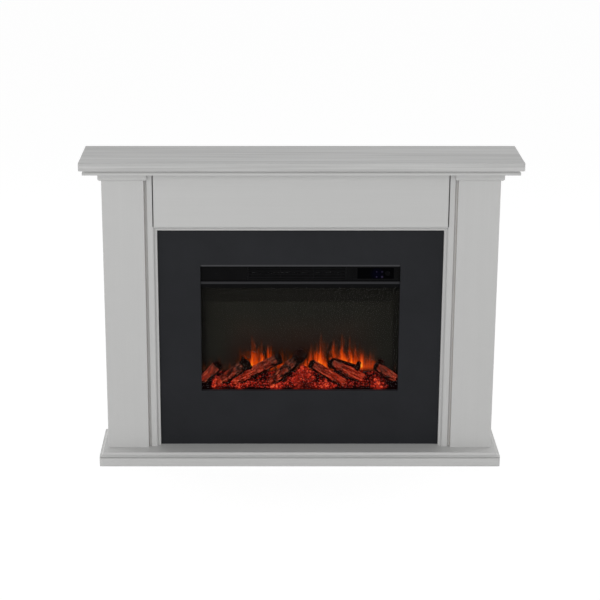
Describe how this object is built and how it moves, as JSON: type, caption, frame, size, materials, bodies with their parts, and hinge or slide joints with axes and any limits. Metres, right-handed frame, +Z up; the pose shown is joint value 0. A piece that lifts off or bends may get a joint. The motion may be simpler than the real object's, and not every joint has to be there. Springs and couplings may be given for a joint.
{
  "type": "electric fireplace",
  "caption": "Free-standing white mantel with a deep shelf, square legs and a plinth, framing a dark panel and an electric insert with glowing logs behind glass.",
  "frame": {"origin": "on the floor, under the middle of the bounding box", "axes": "+X to the right seen from the room, +Y back to the wall, +Z up; the front faces -Y"},
  "size_m": [1.3208, 0.2382, 0.9684],
  "materials": {
    "white_paint": "white satin paint over a fine embossed grain",
    "charcoal_paint": "charcoal satin paint",
    "raw_board": "bare board",
    "black_steel": "black powder coat",
    "zinc_steel": "zinc plate",
    "nylon": "satin",
    "glass": "clear, faintly smoked",
    "black_plastic": "satin",
    "brushed_trim": "dark brushed",
    "gloss_black": "gloss",
    "circuit_board": "green lacquer",
    "bright_aluminium": "bright foil",
    "motor_steel": "drawn steel",
    "ceramic": "matt black-brown, unglazed",
    "flame_screen": "dark frosted sheet",
    "log_resin": "rough bark, charred on top",
    "embers": "rough, glowing"
  },
  "bodies": {
    "mantel_and_insert": {"mantel_shelf": "white_paint", "shelf_moulding_front": "white_paint", "shelf_moulding_left": "white_paint", "shelf_moulding_right": "white_paint", "header_panel": "white_paint", "left_leg_front": "white_paint", "left_leg_outer_side": "white_paint", "left_leg_inner_side": "raw_board", "left_leg_capital": "white_paint", "right_leg_front": "white_paint", "right_leg_outer_side": "white_paint", "right_leg_inner_side": "raw_board", "right_leg_capital": "white_paint", "left_stile": "white_paint", "right_stile": "white_paint", "bead_left": "white_paint", "bead_top": "white_paint", "bead_right": "white_paint", "infill_panel": "charcoal_paint", "base_top_board": "white_paint", "base_skirt_front": "white_paint", "base_skirt_left": "white_paint", "base_skirt_right": "white_paint", "base_back_rail": "raw_board", "top_back_rail": "raw_board", "firebox_shelf": "raw_board", "casing_bottom": "black_steel", "casing_top": "black_steel", "casing_left": "black_steel", "casing_right": "black_steel", "casing_back": "black_steel", "heater_tray": "zinc_steel", "cable_gland": "nylon", "front_glass": "glass", "fascia": "black_plastic", "lower_trim": "brushed_trim", "top_trim": "brushed_trim", "outlet_grille": "black_plastic", "display_bezel": "black_plastic", "display_window": "gloss_black", "control_board": "circuit_board", "blower_housing": "black_steel", "blower_motor": "motor_steel", "heating_element": "ceramic", "flame_screen": "flame_screen", "rotor_motor": "motor_steel", "rotor_bearing": "nylon", "light_strip": "circuit_board", "ember_bed": "embers", "log_1": "log_resin", "log_2": "log_resin", "log_3": "log_resin", "log_4": "log_resin", "log_5": "log_resin", "log_6": "log_resin", "log_7": "log_resin"},
    "flame_rotor_body": {"flame_rotor": "bright_aluminium"},
    "blower_impeller_body": {"blower_impeller": "bright_aluminium"},
    "power_button_body": {"power_button": "gloss_black"}
  },
  "joints": [
    {"name": "flame_rotor_spin", "type": "hinge", "parent": "mantel_and_insert", "child": "flame_rotor_body", "pos_m": [0, 0.07594, 0.2493], "axis": [1, 0, 0], "continuous": true},
    {"name": "blower_spin", "type": "hinge", "parent": "mantel_and_insert", "child": "blower_impeller_body", "pos_m": [-0.01, 0.03704, 0.60055], "axis": [1, 0, 0], "continuous": true},
    {"name": "power_button_press", "type": "slide", "parent": "mantel_and_insert", "child": "power_button_body", "axis": [0, 1, 0], "range_m": [0, 0.0012], "stiffness_N_per_m": 800, "springref_m": -0.001}
  ]
}
